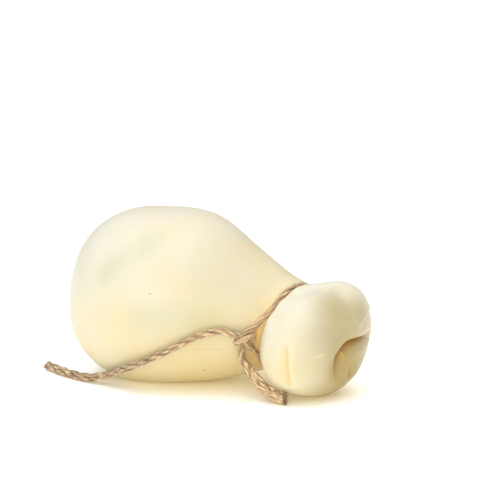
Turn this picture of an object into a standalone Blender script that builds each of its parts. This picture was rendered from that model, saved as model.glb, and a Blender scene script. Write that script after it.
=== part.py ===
"""A scamorza lying on its side: a pear of stretched curd, tied round the neck with jute twine.

The cheese is one solid. Its pear-shaped body narrows to a neck, and past the neck the curd swells
into a flat knob whose end is folded over on itself, so that one lobe curls above a curved slit.
The twine is a tie (a loop round the neck with its half knot) and two free tails.

The formulas work in millimetres and degrees, and the meshes are in metres. +Z is up and the floor
is z = 0. The origin is the middle of the flat spot under the belly, and +X points from the round
base towards the head.
"""
import bmesh
import bpy
import numpy as np

MM = 0.001

# Body: its round base, its belly and the straight part of its axis.
BELLY_RADIUS = 39.0
BELLY_HEIGHT = 35.7
BODY_DIP = 4.0
BASE_LENGTH = 33.5
BASE_FULLNESS = 0.57
BASE_ROUNDNESS = 0.73
SHOULDER_LENGTH = 27.5
SHOULDER_HUMP = 4.8
HUMP_STATION = 57.5
HUMP_LENGTH = 18.5
HUMP_SPREAD = 60.0

# Neck, where the twine ties the curd off.
NECK = (67.3, 1.2, 26.9)
NECK_RADIUS = 17.9
NECK_TURN = 18.0
NECK_DIP = 14.0
NECK_SLOPE = 20.0
NECK_RUN = 20.5
BODY_BEND = 19.5
NECK_BEND = 14.0

# Head: a knob wider than it is long, turned towards -Y.
HEAD = (81.6, -3.4, 24.1)
HEAD_RADIUS = 24.9
HEAD_LENGTH = 16.5
HEAD_TURN = 30.0
HEAD_DIP = 4.0
HEAD_BEND = 5.0
MIDDLE_TURN = 25.0
HEAD_BACK = 7.0
HEAD_ROUNDNESS = 7.0
HEAD_OVAL = 0.10
OVAL_ANGLE = 31.0
HEAD_LOBES = -0.07

# Slit in the head's end, measured along the surface from the head's pole. It bends like a bow.
SLIT_HALF = 13.0
SLIT_ANGLE = 32.0
SLIT_SHIFT = (4.3, 5.2)
BOW_AT = -5.2
SLIT_BOWS = (1.8, 0.8)
BOW_ROUNDING = 4.8
BOW_REACH = 25.0
SLIT_GAP = 0.3
CAP_ARC = 33.6
LIP_RADII = (3.6, 5.0)
LIP_TURN = 130.0
LOWER_WIDTHS = (9.5, 6.0)

# Creases in the head: route points on its surface, half width and depth.
CREASES = {
    "petal": (((94, -9.7, 23.4), (95.6, -10.3, 22), (96.4, -8.7, 18.6), (96.1, -5.4, 14.2), (95.2, -0.4, 8.8),
               (93, 4, 4)), 4.5, 4.2),
    "side": (((77, -26.8, 30), (76.5, -27.6, 25.2), (76.1, -27.5, 17.8), (75.7, -25.4, 12.4), (75.1, -21.7, 7.8),
              (75.5, -15, 3)), 3.3, 1.7),
    "top": (((86.5, -0.5, 50), (89.5, -2.2, 46.8), (91.9, -2.5, 44.9), (95, -3.4, 41.5), (96.7, -4.3, 38),
             (97.6, -5.2, 34.5)), 15.0, 2.6),
}

# Round swelling down the head's side: route points on its surface, half width and height.
LOBE = (((75.1, -5.9, 47), (77.3, -10.3, 43.4), (80.1, -15.8, 39.8), (83.4, -22.6, 32), (84.3, -24.7, 21.9),
         (83.8, -22.2, 12.5), (82.3, -17.2, 5.7)), 19.0, 3.0)

# Jute twine, in one length: a tail, a strand through the knot, the loop, a strand wound round the
# first one, and the other tail. Loop points are an angle round the neck and a shift along it.
STRAND = 2.6
CLEARANCE = 0.7
CUT = 0.9
LONG_TAIL = (
    (-44.4, -16.7, 2), (-32.7, -22.3, 2), (-21.7, -25.6, 2), (-15.5, -26.5, 2.7), (-9.8, -27.6, 4.4),
    (-4.3, -29.6, 6.8), (7.2, -34, 12.3), (16.8, -35, 17), (24.6, -34.8, 21.2), (30.8, -33.8, 24.7),
    (36.5, -32.2, 28), (41.9, -29.8, 29.9), (46.8, -27.3, 30.7),
)
LOWER_STRAND = (
    (51.2, -25.9, 29.6), (52.9, -25.6, 29), (54.6, -25.2, 28.1), (55.8, -23.9, 26.4), (56.7, -21.7, 24.2),
    (57.5, -19.4, 22.1),
)
LOOP = (
    (205, -4), (212, -2.8), (220, -2.3), (240, -1.9), (260, -1.9), (280, -1.9), (300, -1.9), (320, -1.9),
    (340, -1.9), (0, -1.9), (20, -1.9), (40, -1.9), (60, -1.9), (80, -1.9), (100, -1.9), (115, -1.9),
    (130, -1.9), (143, -2), (152, -3.3), (160, -5.2), (167, -6.3),
)
UPPER_STRAND = (
    (57, -21.8, 30.6), (55.2, -22.5, 29.1), (53.6, -23.1, 27.4), (52.6, -24.3, 26.5), (52.8, -25.8, 26),
    (54.1, -26.9, 26.3), (55.8, -26.9, 27.2), (57.7, -25.9, 28.3), (58.8, -24.4, 29), (59.2, -22.2, 28.6),
    (58.4, -20.6, 27.2), (57, -20.3, 25.7), (55.6, -20.8, 24.4), (54.4, -21.4, 23.3), (53.7, -21.6, 22),
)
SHORT_TAIL = (
    (53.4, -21.6, 20.6), (54, -21, 17.1), (55.4, -20.3, 14.7), (57.2, -20.3, 12.2), (59.4, -20.5, 9.9),
    (62.1, -20.9, 7.6), (64.9, -21.1, 5.7), (68, -21.2, 4.2), (70.6, -20.9, 3.3), (73.1, -20.6, 2.8),
)
LONG_TAIL_WIDTHS = (3.8, 3.7, 2.8)
SHORT_TAIL_WIDTHS = (2.8, 4.2, 5.2)

# The floor presses a flat spot, and its edge is rounded over this height.
FLOOR_ROUNDING = 0.5

# Mesh: segments round the axis, and rings in the base, shoulder, back of the head and front.
SEGMENTS = 72
RINGS = (12, 17, 9, 21)
SPINE_STEPS = 80

# Linear colours of the two materials.
CURD_COLOUR = (0.88, 0.79, 0.55)
JUTE_COLOUR = (0.52, 0.36, 0.20)


def direction(turn, dip):
    """A unit vector turned from +X towards -Y, then dipped below the level."""
    turn, dip = np.radians(turn), np.radians(dip)
    return np.stack([np.cos(dip) * np.cos(turn), -np.cos(dip) * np.sin(turn), -np.sin(dip)], -1)


def bezier(p0, p1, p2, p3, t):
    """Points of a cubic Bezier at the parameters t."""
    t = np.asarray(t)[:, None]
    p0, p1, p2, p3 = (np.array(p, float) for p in (p0, p1, p2, p3))
    return (1 - t) ** 3 * p0 + 3 * (1 - t) ** 2 * t * p1 + 3 * (1 - t) * t * t * p2 + t**3 * p3


def smooth(x):
    """A smooth step from 0 to 1."""
    x = np.clip(x, 0, 1)
    return x * x * (3 - 2 * x)


def make_spine():
    """The cheese's bent axis: its points, directions and stations, and where the belly, the neck,
    the head's middle and its pole are."""
    ways = (0, BODY_DIP), (NECK_TURN, NECK_DIP), (MIDDLE_TURN, HEAD_DIP), (HEAD_TURN, HEAD_DIP)
    body, neck_way, head_way, pole_way = (direction(*way) for way in ways)
    belly, neck, head = np.array([0, 0, BELLY_HEIGHT]), np.array(NECK), np.array(HEAD)
    pole = head + HEAD_LENGTH * pole_way
    t = np.linspace(0, 1, SPINE_STEPS, endpoint=False)
    points = np.vstack([
        belly - np.outer(1 - t, BASE_LENGTH * body),
        bezier(belly, belly + BODY_BEND * body, neck - NECK_BEND * neck_way, neck, t),
        bezier(neck, neck + HEAD_BEND * neck_way, head - HEAD_BEND * head_way, head, t),
        bezier(head, head + HEAD_BEND * head_way, pole - HEAD_BEND * pole_way, pole, np.r_[t, 1]),
    ])
    along = np.gradient(points, axis=0)
    turning = slice(2 * SPINE_STEPS - 1, None)
    part_way = np.minimum(np.arange(2 * SPINE_STEPS + 2) / SPINE_STEPS, 1)
    along[turning] = direction(NECK_TURN + part_way * (HEAD_TURN - NECK_TURN),
                               NECK_DIP + part_way * (HEAD_DIP - NECK_DIP))
    along /= np.linalg.norm(along, axis=1, keepdims=True)
    stations = np.r_[0, np.cumsum(np.linalg.norm(np.diff(points, axis=0), axis=1))]
    return points, along, stations, stations[SPINE_STEPS::SPINE_STEPS]


SPINE, WAY, STATIONS, (BELLY_AT, NECK_AT, HEAD_AT, POLE_AT) = make_spine()


def frame_at(station):
    """The axis point there, and the directions along it, across it to the left and upwards."""
    centre = np.stack([np.interp(station, STATIONS, SPINE[:, k]) for k in range(3)], -1)
    along = np.stack([np.interp(station, STATIONS, WAY[:, k]) for k in range(3)], -1)
    along /= np.linalg.norm(along, axis=-1, keepdims=True)
    across = np.cross([0, 0, 1.0], along)
    across /= np.linalg.norm(across, axis=-1, keepdims=True)
    return centre, along, across, np.cross(along, across)


def turned_outline():
    """Station and radius of each ring from the base to the head's widest ring."""
    slope = np.radians(NECK_SLOPE)
    base, shoulder, back = (np.linspace(0, 1, n, endpoint=False) for n in RINGS[:3])
    return np.vstack([
        bezier((0, 0), (0, BASE_FULLNESS * BELLY_RADIUS), (BELLY_AT * (1 - BASE_ROUNDNESS), BELLY_RADIUS),
               (BELLY_AT, BELLY_RADIUS), base),
        bezier((BELLY_AT, BELLY_RADIUS), (BELLY_AT + SHOULDER_LENGTH, BELLY_RADIUS),
               (NECK_AT - NECK_RUN * np.cos(slope), NECK_RADIUS + NECK_RUN * np.sin(slope)),
               (NECK_AT, NECK_RADIUS), shoulder),
        bezier((NECK_AT, NECK_RADIUS), (NECK_AT + 0.5, NECK_RADIUS + 0.6 * HEAD_BACK),
               (HEAD_AT - HEAD_ROUNDNESS, HEAD_RADIUS), (HEAD_AT, HEAD_RADIUS), back),
    ])


def bow(u):
    """How far the slit's line falls back from straight, at u along it."""
    from_bend = u - BOW_AT
    level = from_bend / (1 + (from_bend / BOW_REACH) ** 4) ** 0.25
    return np.where(level < 0, *SLIT_BOWS) * (np.hypot(level, BOW_ROUNDING) - BOW_ROUNDING)


def cap_rings(angles):
    """Rings over the head's front that close on the slit, as places (u, v) beside the slit and
    as station, radius and angle on the head."""
    reach = np.linspace(CAP_ARC, SLIT_HALF / 2 + SLIT_GAP, RINGS[3])[:, None]
    near = smooth((CAP_ARC - reach) / (CAP_ARC - SLIT_HALF / 2))
    squeeze = near * SLIT_HALF**2 / 4 / reach
    u = (reach + squeeze) * np.cos(angles)
    v = (reach - squeeze) * np.sin(angles)
    bowed = v - bow(u) * near * np.exp(-((v / 30) ** 2))
    turn = np.radians(SLIT_ANGLE)
    x = np.cos(turn) * u - np.sin(turn) * bowed + SLIT_SHIFT[0] * near
    y = np.sin(turn) * u + np.cos(turn) * bowed + SLIT_SHIFT[1] * near
    tilt = np.minimum(np.hypot(x, y) / CAP_ARC, 1) * np.pi / 2
    station = HEAD_AT + (POLE_AT - HEAD_AT) * np.cos(tilt)
    return u, v, station, HEAD_RADIUS * np.sin(tilt), np.arctan2(y, x)


def fold_over(points, u, v):
    """Rolls the upper lip over the slit and sinks the lower lobe's edge under it."""
    pole, along, across, up = frame_at(POLE_AT)
    turn = np.radians(SLIT_ANGLE)
    to_lip = np.cos(turn) * up - np.sin(turn) * across
    strength = np.clip(1 - (u / (1.06 * SLIT_HALF)) ** 2, 0, 1) ** 0.7
    lip = np.interp(u, (-SLIT_HALF / 2, SLIT_HALF), LIP_RADII)
    turned, width = np.radians(LIP_TURN), 0.82 * lip
    curl = (1 - np.clip(v / width, 0, 1)) * turned
    lower = np.interp(u, (-SLIT_HALF / 2, SLIT_HALF / 2), LOWER_WIDTHS)
    sink = 1 - np.sin(np.clip(-v / lower, 0, 1) * np.pi / 2)
    shift_up = np.where(v < width, width - lip * np.sin(curl) - v, 0)
    shift = np.where(v > 0, shift_up, (width - lip * np.sin(turned)) * sink)
    depth = lip * np.where(v > 0, 1 - np.cos(curl), (1 - np.cos(turned)) * sink)
    outward = points - (np.array(HEAD) - 8 * along)
    outward /= np.linalg.norm(outward, axis=-1, keepdims=True)
    sideways = to_lip - (outward @ to_lip)[..., None] * outward
    sideways /= np.linalg.norm(sideways, axis=-1, keepdims=True)
    return points + (strength * shift)[..., None] * sideways - (strength * depth)[..., None] * outward


def along_route(points, route):
    """Each point's distance from a route, and its place along it from 0 to 1."""
    route = np.array(route, float)
    best = np.full(points.shape[:-1], np.inf)
    place = np.zeros(points.shape[:-1])
    for k, (start, end) in enumerate(zip(route, route[1:])):
        way = end - start
        t = np.clip((points - start) @ way / (way @ way), 0, 1)
        gap = np.linalg.norm(points - start - t[..., None] * way, axis=-1)
        closer = gap < best
        best = np.where(closer, gap, best)
        place = np.where(closer, (k + t) / (len(route) - 1), place)
    return best, place


def crease(points, route, width, depth):
    """How far a crease along the route draws each point towards the centre line."""
    gap, place = along_route(points, route)
    fade = smooth(np.minimum(place, 1 - place) * 4 + 0.15)
    return depth * fade * np.clip(1 - gap / width, 0, 1) ** 2.2


def swelling(points, route, width, height):
    """How far a round swelling along the route lifts each point off the centre line."""
    gap, place = along_route(points, route)
    return height * smooth(np.minimum(place, 1 - place) * 4) * smooth(1 - gap / width)


def press_on_floor(height):
    """Heights after the floor has flattened what would be below it."""
    edge = 2 * FLOOR_ROUNDING
    eased = (height + edge) ** 2 / (4 * edge)
    return np.where(height > edge, height, np.where(height < -edge, 0, eased))


def skin_radius(station, angle, radius):
    """A ring's radius with the shoulder's hump and the head's oval, lobed section."""
    from_top = (angle - np.pi / 2 + np.pi) % (2 * np.pi) - np.pi
    along, aside = (station - HUMP_STATION) / HUMP_LENGTH, from_top / np.radians(HUMP_SPREAD)
    hump = np.exp(-(along**2) - aside**2)
    in_head = smooth((station - NECK_AT) / (HEAD_AT - NECK_AT))
    oval = HEAD_OVAL * np.cos(2 * (angle - np.radians(OVAL_ANGLE))) + HEAD_LOBES * np.cos(3 * angle)
    return (radius + SHOULDER_HUMP * hump) * (1 + in_head * oval)


def around(station, angle, radius):
    """Points at an angle and a distance from the axis."""
    centre, along, across, up = frame_at(station)
    return centre + radius[..., None] * (np.cos(angle)[..., None] * across + np.sin(angle)[..., None] * up)


def cheese_rings():
    """The cheese's surface in millimetres, one row of points for each ring."""
    angles = np.linspace(0, 2 * np.pi, SEGMENTS, endpoint=False)
    outline = turned_outline()
    u, v, cap_station, cap_radius, cap_angle = cap_rings(angles)
    full = np.ones((len(outline), SEGMENTS))
    station = np.vstack([outline[:, :1] * full, cap_station])
    angle = np.vstack([(angles + np.radians(SLIT_ANGLE)) * full, cap_angle])
    radius = skin_radius(station, angle, np.vstack([outline[:, 1:] * full, cap_radius]))
    points = around(station, angle, radius)
    inward = frame_at(station)[0] - points
    inward /= np.maximum(np.linalg.norm(inward, axis=-1, keepdims=True), 1e-6)
    drawn = sum(crease(points, *shape) for shape in CREASES.values()) - swelling(points, *LOBE)
    first = len(outline)
    points[first:] = fold_over(points[first:], u, v)
    points += drawn[..., None] * inward
    points[..., 2] = press_on_floor(points[..., 2])
    return points


def loft(name, rings):
    """A closed mesh through the rings: a point at the base, and the last ring zipped shut."""
    count = rings.shape[1]
    bm = bmesh.new()
    pole = bm.verts.new(rings[0].mean(axis=0) * MM)
    rows = [[bm.verts.new(p * MM) for p in ring] for ring in rings[1:]]
    for j in range(count):
        bm.faces.new((pole, rows[0][(j + 1) % count], rows[0][j]))
    for near, far in zip(rows, rows[1:]):
        for j in range(count):
            k = (j + 1) % count
            bm.faces.new((near[j], near[k], far[k], far[j]))
    last, half = rows[-1], count // 2
    for j in range(half):
        corners = (last[j], last[j + 1], last[(count - j - 1) % count], last[(count - j) % count])
        bm.faces.new(tuple(dict.fromkeys(corners)))
    bmesh.ops.recalc_face_normals(bm, faces=bm.faces)
    mesh = bpy.data.meshes.new(name)
    bm.to_mesh(mesh)
    bm.free()
    mesh.shade_smooth()
    return bpy.data.objects.new(name, mesh)


def loop_points():
    """The loop's route: a strand that lies on the neck with a little clearance."""
    angle = np.radians([a for a, _ in LOOP])
    station = NECK_AT + np.array([shift for _, shift in LOOP], float)
    outline = turned_outline()
    radius = skin_radius(station, angle, np.interp(station, outline[:, 0], outline[:, 1]))
    return around(station, angle, radius + STRAND / 2 + CLEARANCE)


def flowing(route, steps=16):
    """A smooth line through the route's points, with evenly timed steps between each pair."""
    points = np.vstack([2 * route[0] - route[1], route, 2 * route[-1] - route[-2]])
    knots = np.r_[0, np.cumsum(np.linalg.norm(np.diff(points, axis=0), axis=1) ** 0.5)]
    line = []
    for k in range(1, len(points) - 2):
        t0, t1, t2, t3 = knots[k - 1:k + 3]
        p0, p1, p2, p3 = points[k - 1:k + 3]
        t = np.linspace(t1, t2, steps, endpoint=False)[:, None]
        a1 = ((t1 - t) * p0 + (t - t0) * p1) / (t1 - t0)
        a2 = ((t2 - t) * p1 + (t - t1) * p2) / (t2 - t1)
        a3 = ((t3 - t) * p2 + (t - t2) * p3) / (t3 - t2)
        b1 = ((t2 - t) * a1 + (t - t0) * a2) / (t2 - t0)
        b2 = ((t3 - t) * a2 + (t - t1) * a3) / (t3 - t1)
        line.append(((t2 - t) * b1 + (t - t1) * b2) / (t2 - t1))
    return np.vstack(line + [route[-1:]])


def stretch(line, start, stop, spacing):
    """Evenly spaced points of a line between two distances along it."""
    run = np.r_[0, np.cumsum(np.linalg.norm(np.diff(line, axis=0), axis=1))]
    at = np.linspace(start, stop, max(2, round((stop - start) / spacing) + 1))
    return np.stack([np.interp(at, run, line[:, k]) for k in range(3)], -1)


def strand(name, points, widths):
    """A solid round cord through the points, with flat ends."""
    curve = bpy.data.curves.new(name, "CURVE")
    curve.dimensions = "3D"
    curve.bevel_depth = MM / 2
    curve.bevel_resolution = 2
    curve.use_fill_caps = True
    spline = curve.splines.new("POLY")
    spline.points.add(len(points) - 1)
    for knot, place, width in zip(spline.points, points, widths):
        knot.co = (*(place * MM), 1)
        knot.radius = width
    cord = bpy.data.objects.new(name, curve)
    bpy.context.scene.collection.objects.link(cord)
    shape = cord.evaluated_get(bpy.context.evaluated_depsgraph_get())
    mesh = bpy.data.meshes.new_from_object(shape)
    bpy.data.objects.remove(cord)
    bm = bmesh.new()
    bm.from_mesh(mesh)
    bmesh.ops.remove_doubles(bm, verts=bm.verts, dist=1e-6)
    bmesh.ops.recalc_face_normals(bm, faces=bm.faces)
    bm.to_mesh(mesh)
    bm.free()
    mesh.name = name
    mesh.shade_smooth()
    return bpy.data.objects.new(name, mesh)


def fuse(name, pieces):
    """One solid out of overlapping pieces."""
    whole, others = pieces[0], bpy.data.collections.new(name + "_pieces")
    bpy.context.scene.collection.objects.link(whole)
    bpy.context.scene.collection.children.link(others)
    for piece in pieces[1:]:
        others.objects.link(piece)
    union = whole.modifiers.new("union", "BOOLEAN")
    union.operation = "UNION"
    union.operand_type = "COLLECTION"
    union.collection = others
    union.solver = "EXACT"
    union.use_self = True
    mesh = bpy.data.meshes.new_from_object(whole.evaluated_get(bpy.context.evaluated_depsgraph_get()))
    for piece in pieces:
        bpy.data.objects.remove(piece)
    bpy.data.collections.remove(others)
    mesh.name = name
    return bpy.data.objects.new(name, mesh)


def twine():
    """The tie and the two tails, cut from one continuous line."""
    parts = [np.array(LONG_TAIL, float), np.array(LOWER_STRAND, float), loop_points(),
             np.array(UPPER_STRAND, float), np.array(SHORT_TAIL, float)]
    line = flowing(np.vstack(parts))
    run = np.r_[0, np.cumsum(np.linalg.norm(np.diff(line, axis=0), axis=1))]
    first = 16 * np.cumsum([len(p) for p in parts])
    out, low, high, away = (run[k] for k in first[:4])
    long_points = stretch(line, 0, out - CUT / 2, 5)
    short_points = stretch(line, away + CUT / 2, run[-1], 3)
    tie = []
    spans = (out + CUT / 2, low, 1.3), (low, high, 4), (high, away - CUT / 2, 1.1)
    for k, (start, stop, spacing) in enumerate(spans):
        points = stretch(line, start - (k > 0), stop + (k < 2), spacing)
        widths = np.full(len(points), STRAND)
        widths[0] *= 0.94 if k > 0 else 1
        widths[-1] *= 0.94 if k < 2 else 1
        tie.append(strand("tie_%d" % k, points, widths))
    along = np.linspace(0, 1, len(long_points)), np.linspace(0, 1, len(short_points))
    return (
        fuse("twine_tie", tie),
        strand("twine_tail_long", long_points, np.interp(along[0], (0, 0.75, 1), LONG_TAIL_WIDTHS)),
        strand("twine_tail_short", short_points, np.interp(along[1], (0, 0.5, 1), SHORT_TAIL_WIDTHS)),
    )


def material(name, colour, roughness):
    """A plain surface of one colour."""
    plain = bpy.data.materials.new(name)
    plain.use_nodes = True
    surface = plain.node_tree.nodes["Principled BSDF"]
    surface.inputs["Base Color"].default_value = (*colour, 1)
    surface.inputs["Roughness"].default_value = roughness
    return plain


def main():
    for old in list(bpy.data.objects):
        bpy.data.objects.remove(old)
    scamorza = bpy.data.collections.new("scamorza")
    bpy.context.scene.collection.children.link(scamorza)
    curd = material("fresh_curd", CURD_COLOUR, 0.4)
    jute = material("jute", JUTE_COLOUR, 0.9)
    for piece, surface in zip((loft("cheese", cheese_rings()), *twine()), (curd, jute, jute, jute)):
        piece.data.materials.clear()
        piece.data.materials.append(surface)
        scamorza.objects.link(piece)


main()
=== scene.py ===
# %% [markdown]
# # A scamorza on its side, tied with jute twine
#
# Scamorza is a pulled-curd cheese. The curd is stretched in hot water until it is smooth and shiny,
# pulled by hand into a pear, folded shut at the top and tied round the neck with twine, to hang and
# dry. What the eye gets is a soft cream-coloured body that light sinks into, warm amber wherever two
# faces of curd come close together, and a hairy brown twine that bites into the neck.
#
# All sizes here are in millimetres and degrees, and `MM` turns them into Blender's metres. The
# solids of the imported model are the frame: every piece below stays where its solid is.

import bpy
import numpy as np
from mathutils import Matrix


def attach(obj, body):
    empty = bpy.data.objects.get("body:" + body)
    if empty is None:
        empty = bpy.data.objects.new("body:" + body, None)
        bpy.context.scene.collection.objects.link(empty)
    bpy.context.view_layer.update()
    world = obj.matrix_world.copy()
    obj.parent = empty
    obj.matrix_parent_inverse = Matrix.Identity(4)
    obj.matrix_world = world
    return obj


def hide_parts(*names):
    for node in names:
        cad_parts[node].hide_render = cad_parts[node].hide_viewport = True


MM = 0.001
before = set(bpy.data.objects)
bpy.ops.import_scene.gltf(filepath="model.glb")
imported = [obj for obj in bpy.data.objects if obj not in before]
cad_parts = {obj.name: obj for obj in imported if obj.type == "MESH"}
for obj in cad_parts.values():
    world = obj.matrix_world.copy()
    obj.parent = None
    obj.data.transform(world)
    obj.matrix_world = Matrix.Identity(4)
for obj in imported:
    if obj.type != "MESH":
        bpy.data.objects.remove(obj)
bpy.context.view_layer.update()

# %% [markdown]
# ## Colours and nodes
#
# A colour is written as it would be picked from a screen, as an sRGB hex value. Light adds up in
# linear values, so one function turns the one into the other. One more adds a shader node with its
# settings, and links or fills its sockets, which keeps each material readable from top to bottom.


# %% Colour and node helpers
def linear(shade):
    """An sRGB hex colour as linear red, green, blue and alpha."""
    parts = [int(shade[k:k + 2], 16) / 255 for k in (1, 3, 5)]
    return tuple(c / 12.92 if c <= 0.04045 else ((c + 0.055) / 1.055) ** 2.4 for c in parts) + (1,)


def node(tree, kind, sockets=(), **settings):
    """Adds a node. A socket is linked where its value is another node's output, or else filled."""
    new = tree.nodes.new("ShaderNode" + kind)
    for name, value in settings.items():
        setattr(new, name, value)
    for socket, value in dict(sockets).items():
        if isinstance(value, bpy.types.NodeSocket):
            tree.links.new(value, new.inputs[socket])
        else:
            new.inputs[socket].default_value = value
    return new


def empty_tree(owner):
    """The node tree of a material or a world, with nothing in it yet."""
    owner.use_nodes = True
    owner.node_tree.nodes.clear()
    return owner.node_tree


print("cream in linear light:", [round(x, 3) for x in linear("#f7efd0")])

# %% [markdown]
# ## The camera
#
# The cheese is seen from its side and a little towards its head, from just above the table, through
# a long lens, so that near and far ends look alike in size. The camera is placed by the angles of
# that view, at a distance from a point near the middle of the cheese, and the lens is what makes one
# pixel of the 500-pixel picture as wide as it has to be there.

# %% Camera
AZIMUTH = 24.0
ELEVATION = 12.5
DISTANCE = 750.0
VIEW_CENTRE = (43.8, 19.7)  # to the right and up in the picture, from the middle of the belly
BELLY_HEIGHT = 35.7
MM_PER_PIXEL = 0.4446
PICTURE = 500
SENSOR = 36.0

turn, rise = np.radians(AZIMUTH), np.radians(ELEVATION)
to_right = np.array([np.cos(turn), np.sin(turn), 0])
to_camera = np.array([np.sin(turn) * np.cos(rise), -np.cos(turn) * np.cos(rise), np.sin(rise)])
to_top = np.cross(to_camera, to_right)
target = np.array([0, 0, BELLY_HEIGHT]) + VIEW_CENTRE[0] * to_right + VIEW_CENTRE[1] * to_top

lens = bpy.data.cameras.new("camera")
lens.sensor_width = SENSOR
lens.lens = SENSOR * DISTANCE / (MM_PER_PIXEL * PICTURE)
camera = bpy.data.objects.new("camera", lens)
camera.location = (target + DISTANCE * to_camera) * MM
camera.rotation_mode = "QUATERNION"
camera.rotation_quaternion = Matrix(np.stack([to_right, to_top, to_camera], 1).tolist()).to_quaternion()
bpy.context.scene.collection.objects.link(camera)
bpy.context.scene.camera = camera
bpy.context.scene.view_settings.view_transform = "Standard"
print("lens", round(lens.lens, 1), "mm")

# %% [markdown]
# ## The axis of the cheese
#
# A sculptor would start from a ball and pull. Here the cheese is a turned shape along a bent axis,
# because a few radii and bends then hold every size, and the fine mesh agrees with the solid. The
# axis leaves the round base level, sinks a little through the belly, bends towards the viewer at the
# neck and comes to the head's pole. A few small functions for curves come first.


# %% Curve helpers
def direction(turn, dip):
    """A unit vector turned from +X towards -Y, then dipped below the level."""
    turn, dip = np.radians(turn), np.radians(dip)
    return np.stack([np.cos(dip) * np.cos(turn), -np.cos(dip) * np.sin(turn), -np.sin(dip)], -1)


def bezier(p0, p1, p2, p3, t):
    """Points of a cubic Bezier at the parameters t."""
    t = np.asarray(t)[:, None]
    p0, p1, p2, p3 = (np.array(p, float) for p in (p0, p1, p2, p3))
    return (1 - t) ** 3 * p0 + 3 * (1 - t) ** 2 * t * p1 + 3 * (1 - t) * t * t * p2 + t**3 * p3


def smooth(x):
    """A smooth step from 0 to 1."""
    x = np.clip(x, 0, 1)
    return x * x * (3 - 2 * x)


def unit(vectors):
    """The same directions, each of length 1."""
    return vectors / np.maximum(np.linalg.norm(vectors, axis=-1, keepdims=True), 1e-9)


def lengths_along(points):
    """How far along its line each point lies."""
    return np.r_[0, np.cumsum(np.linalg.norm(np.diff(points, axis=0), axis=1))]


print("a smooth step at a quarter, a half and three quarters:", smooth(np.array([0.25, 0.5, 0.75])))

# %% Axis
BODY_DIP = 4.0
BASE_LENGTH = 33.5
NECK = (67.3, 1.2, 26.9)
NECK_TURN = 18.0
NECK_DIP = 14.0
BODY_BEND = 19.5
NECK_BEND = 14.0
HEAD = (81.6, -3.4, 24.1)
HEAD_LENGTH = 16.5
HEAD_TURN = 30.0
HEAD_DIP = 4.0
HEAD_BEND = 5.0
MIDDLE_TURN = 25.0
AXIS_STEPS = 80


def bent_axis():
    """The axis: its points, directions and stations, and where belly, neck, head and pole are."""
    ways = (0, BODY_DIP), (NECK_TURN, NECK_DIP), (MIDDLE_TURN, HEAD_DIP), (HEAD_TURN, HEAD_DIP)
    body, neck_way, head_way, pole_way = (direction(*way) for way in ways)
    belly, neck, head = np.array([0, 0, BELLY_HEIGHT]), np.array(NECK), np.array(HEAD)
    pole = head + HEAD_LENGTH * pole_way
    t = np.linspace(0, 1, AXIS_STEPS, endpoint=False)
    points = np.vstack([
        belly - np.outer(1 - t, BASE_LENGTH * body),
        bezier(belly, belly + BODY_BEND * body, neck - NECK_BEND * neck_way, neck, t),
        bezier(neck, neck + HEAD_BEND * neck_way, head - HEAD_BEND * head_way, head, t),
        bezier(head, head + HEAD_BEND * head_way, pole - HEAD_BEND * pole_way, pole, np.r_[t, 1]),
    ])
    along = np.gradient(points, axis=0)
    turning = slice(2 * AXIS_STEPS - 1, None)
    part_way = np.minimum(np.arange(2 * AXIS_STEPS + 2) / AXIS_STEPS, 1)
    along[turning] = direction(NECK_TURN + part_way * (HEAD_TURN - NECK_TURN),
                               NECK_DIP + part_way * (HEAD_DIP - NECK_DIP))
    stations = lengths_along(points)
    return points, unit(along), stations, stations[AXIS_STEPS::AXIS_STEPS]


AXIS, WAY, STATIONS, (BELLY_AT, NECK_AT, HEAD_AT, POLE_AT) = bent_axis()
print("axis stations, mm: belly %.1f, neck %.1f, head %.1f, pole %.1f"
      % (BELLY_AT, NECK_AT, HEAD_AT, POLE_AT))

# %% [markdown]
# ## The outline and the skin
#
# A modelling tool's spin would give a perfect pear, and no hand makes one. Here a ring of points is
# set round each station, so that each ring can be changed on its own. The rings crowd together near
# the neck, where the twine presses a groove that is only as wide as the twine. The shoulder has a
# hump on top, and the head's section is a lobed oval, as a fold of curd is.

# %% Outline from the base to the head
BELLY_RADIUS = 39.0
BASE_FULLNESS = 0.57
BASE_ROUNDNESS = 0.73
SHOULDER_LENGTH = 27.5
NECK_RADIUS = 17.9
NECK_SLOPE = 20.0
NECK_RUN = 20.5
HEAD_RADIUS = 24.9
HEAD_BACK = 7.0
BACK_STEEP = 0.6
BACK_LEAN = 0.5
HEAD_ROUNDNESS = 7.0
RINGS = (48, 84, 44, 108)  # on the base, the shoulder, the head's back and the head's front


def turned_outline():
    """Station and radius of each ring from the base to the head's widest ring."""
    slope = np.radians(NECK_SLOPE)
    base, shoulder, back = (np.linspace(0, 1, n, endpoint=False) for n in RINGS[:3])
    shoulder = shoulder * (3 - shoulder) / 2  # closer together towards the neck
    return np.vstack([
        bezier((0, 0), (0, BASE_FULLNESS * BELLY_RADIUS),
               (BELLY_AT * (1 - BASE_ROUNDNESS), BELLY_RADIUS), (BELLY_AT, BELLY_RADIUS), base),
        bezier((BELLY_AT, BELLY_RADIUS), (BELLY_AT + SHOULDER_LENGTH, BELLY_RADIUS),
               (NECK_AT - NECK_RUN * np.cos(slope), NECK_RADIUS + NECK_RUN * np.sin(slope)),
               (NECK_AT, NECK_RADIUS), shoulder),
        bezier((NECK_AT, NECK_RADIUS), (NECK_AT + BACK_LEAN, NECK_RADIUS + BACK_STEEP * HEAD_BACK),
               (HEAD_AT - HEAD_ROUNDNESS, HEAD_RADIUS), (HEAD_AT, HEAD_RADIUS), back),
    ])


OUTLINE = turned_outline()
print("rings to the head's widest one:", len(OUTLINE), "of", sum(RINGS))

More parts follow.
